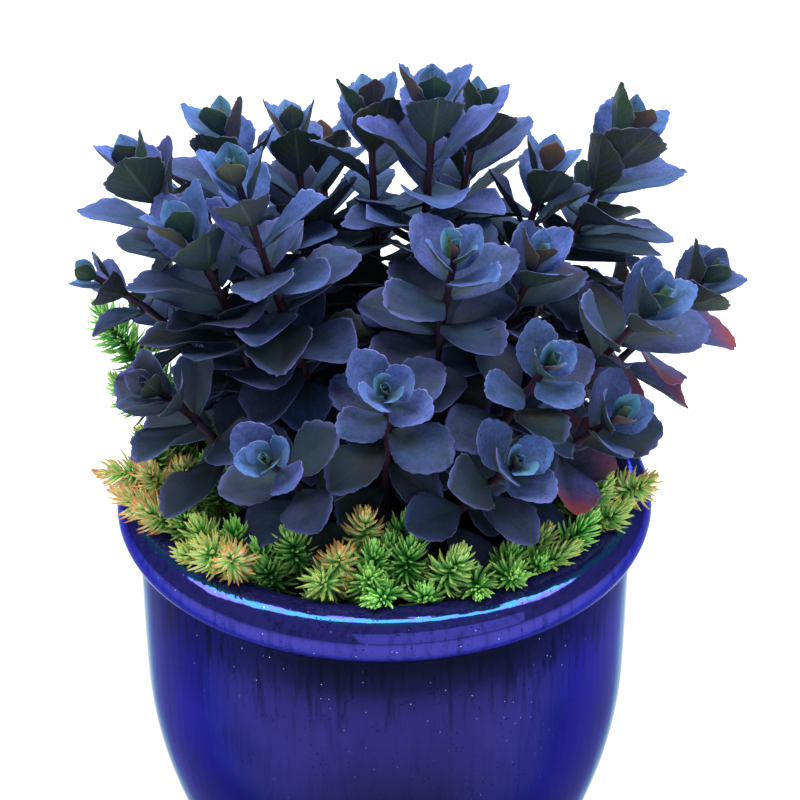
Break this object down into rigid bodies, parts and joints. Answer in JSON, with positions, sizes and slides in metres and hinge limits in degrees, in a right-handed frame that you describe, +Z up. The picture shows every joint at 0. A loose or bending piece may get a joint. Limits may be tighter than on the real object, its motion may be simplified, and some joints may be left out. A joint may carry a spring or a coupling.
{
  "type": "potted sedum",
  "caption": "Round glazed garden pot with a rolled rim, planted with a dense clump of broad-leaved sedum and a ring of needle-leaved stonecrop that spills over the rim",
  "frame": {"origin": "middle of the pot's flat underside, on the pot's axis", "axes": "+Z up along the pot's axis, -Y towards the side that faces the camera, +X to the right of that view"},
  "size_m": [0.4324, 0.3709, 0.5898],
  "materials": {
    "cobalt_glaze": "gloss",
    "potting_soil": "matte",
    "purple_leaf": "satin",
    "green_needle": "satin"
  },
  "bodies": {
    "root": {"pot": "cobalt_glaze", "sedum_shoot_01": "purple_leaf", "sedum_shoot_02": "purple_leaf", "sedum_shoot_03": "purple_leaf", "sedum_shoot_04": "purple_leaf", "sedum_shoot_05": "purple_leaf", "sedum_shoot_06": "purple_leaf", "sedum_shoot_07": "purple_leaf", "sedum_shoot_08": "purple_leaf", "sedum_shoot_09": "purple_leaf", "sedum_shoot_10": "purple_leaf", "sedum_shoot_11": "purple_leaf", "sedum_shoot_12": "purple_leaf", "sedum_shoot_13": "purple_leaf", "sedum_shoot_14": "purple_leaf", "sedum_shoot_15": "purple_leaf", "sedum_shoot_16": "purple_leaf", "sedum_shoot_17": "purple_leaf", "sedum_shoot_18": "purple_leaf", "sedum_shoot_19": "purple_leaf", "sedum_shoot_20": "purple_leaf", "sedum_shoot_21": "purple_leaf", "sedum_shoot_22": "purple_leaf", "sedum_shoot_23": "purple_leaf", "sedum_shoot_24": "purple_leaf", "sedum_shoot_25": "purple_leaf", "sedum_shoot_26": "purple_leaf", "sedum_shoot_27": "purple_leaf", "sedum_shoot_28": "purple_leaf", "sedum_shoot_29": "purple_leaf", "soil": "potting_soil", "stonecrop_tuft_01": "green_needle", "stonecrop_tuft_02": "green_needle", "stonecrop_tuft_03": "green_needle", "stonecrop_tuft_04": "green_needle", "stonecrop_tuft_05": "green_needle", "stonecrop_tuft_06": "green_needle", "stonecrop_tuft_07": "green_needle", "stonecrop_tuft_08": "green_needle", "stonecrop_tuft_09": "green_needle", "stonecrop_tuft_10": "green_needle", "stonecrop_tuft_11": "green_needle", "stonecrop_tuft_12": "green_needle", "stonecrop_tuft_13": "green_needle", "stonecrop_tuft_14": "green_needle", "stonecrop_tuft_15": "green_needle", "stonecrop_tuft_16": "green_needle", "stonecrop_tuft_17": "green_needle", "stonecrop_tuft_18": "green_needle", "stonecrop_tuft_19": "green_needle", "stonecrop_tuft_20": "green_needle", "stonecrop_tuft_21": "green_needle", "stonecrop_tuft_22": "green_needle", "stonecrop_tuft_23": "green_needle", "stonecrop_tuft_24": "green_needle", "stonecrop_tuft_25": "green_needle", "stonecrop_tuft_26": "green_needle", "stonecrop_tuft_27": "green_needle", "stonecrop_tuft_28": "green_needle", "stonecrop_tuft_29": "green_needle"}
  },
  "joints": []
}
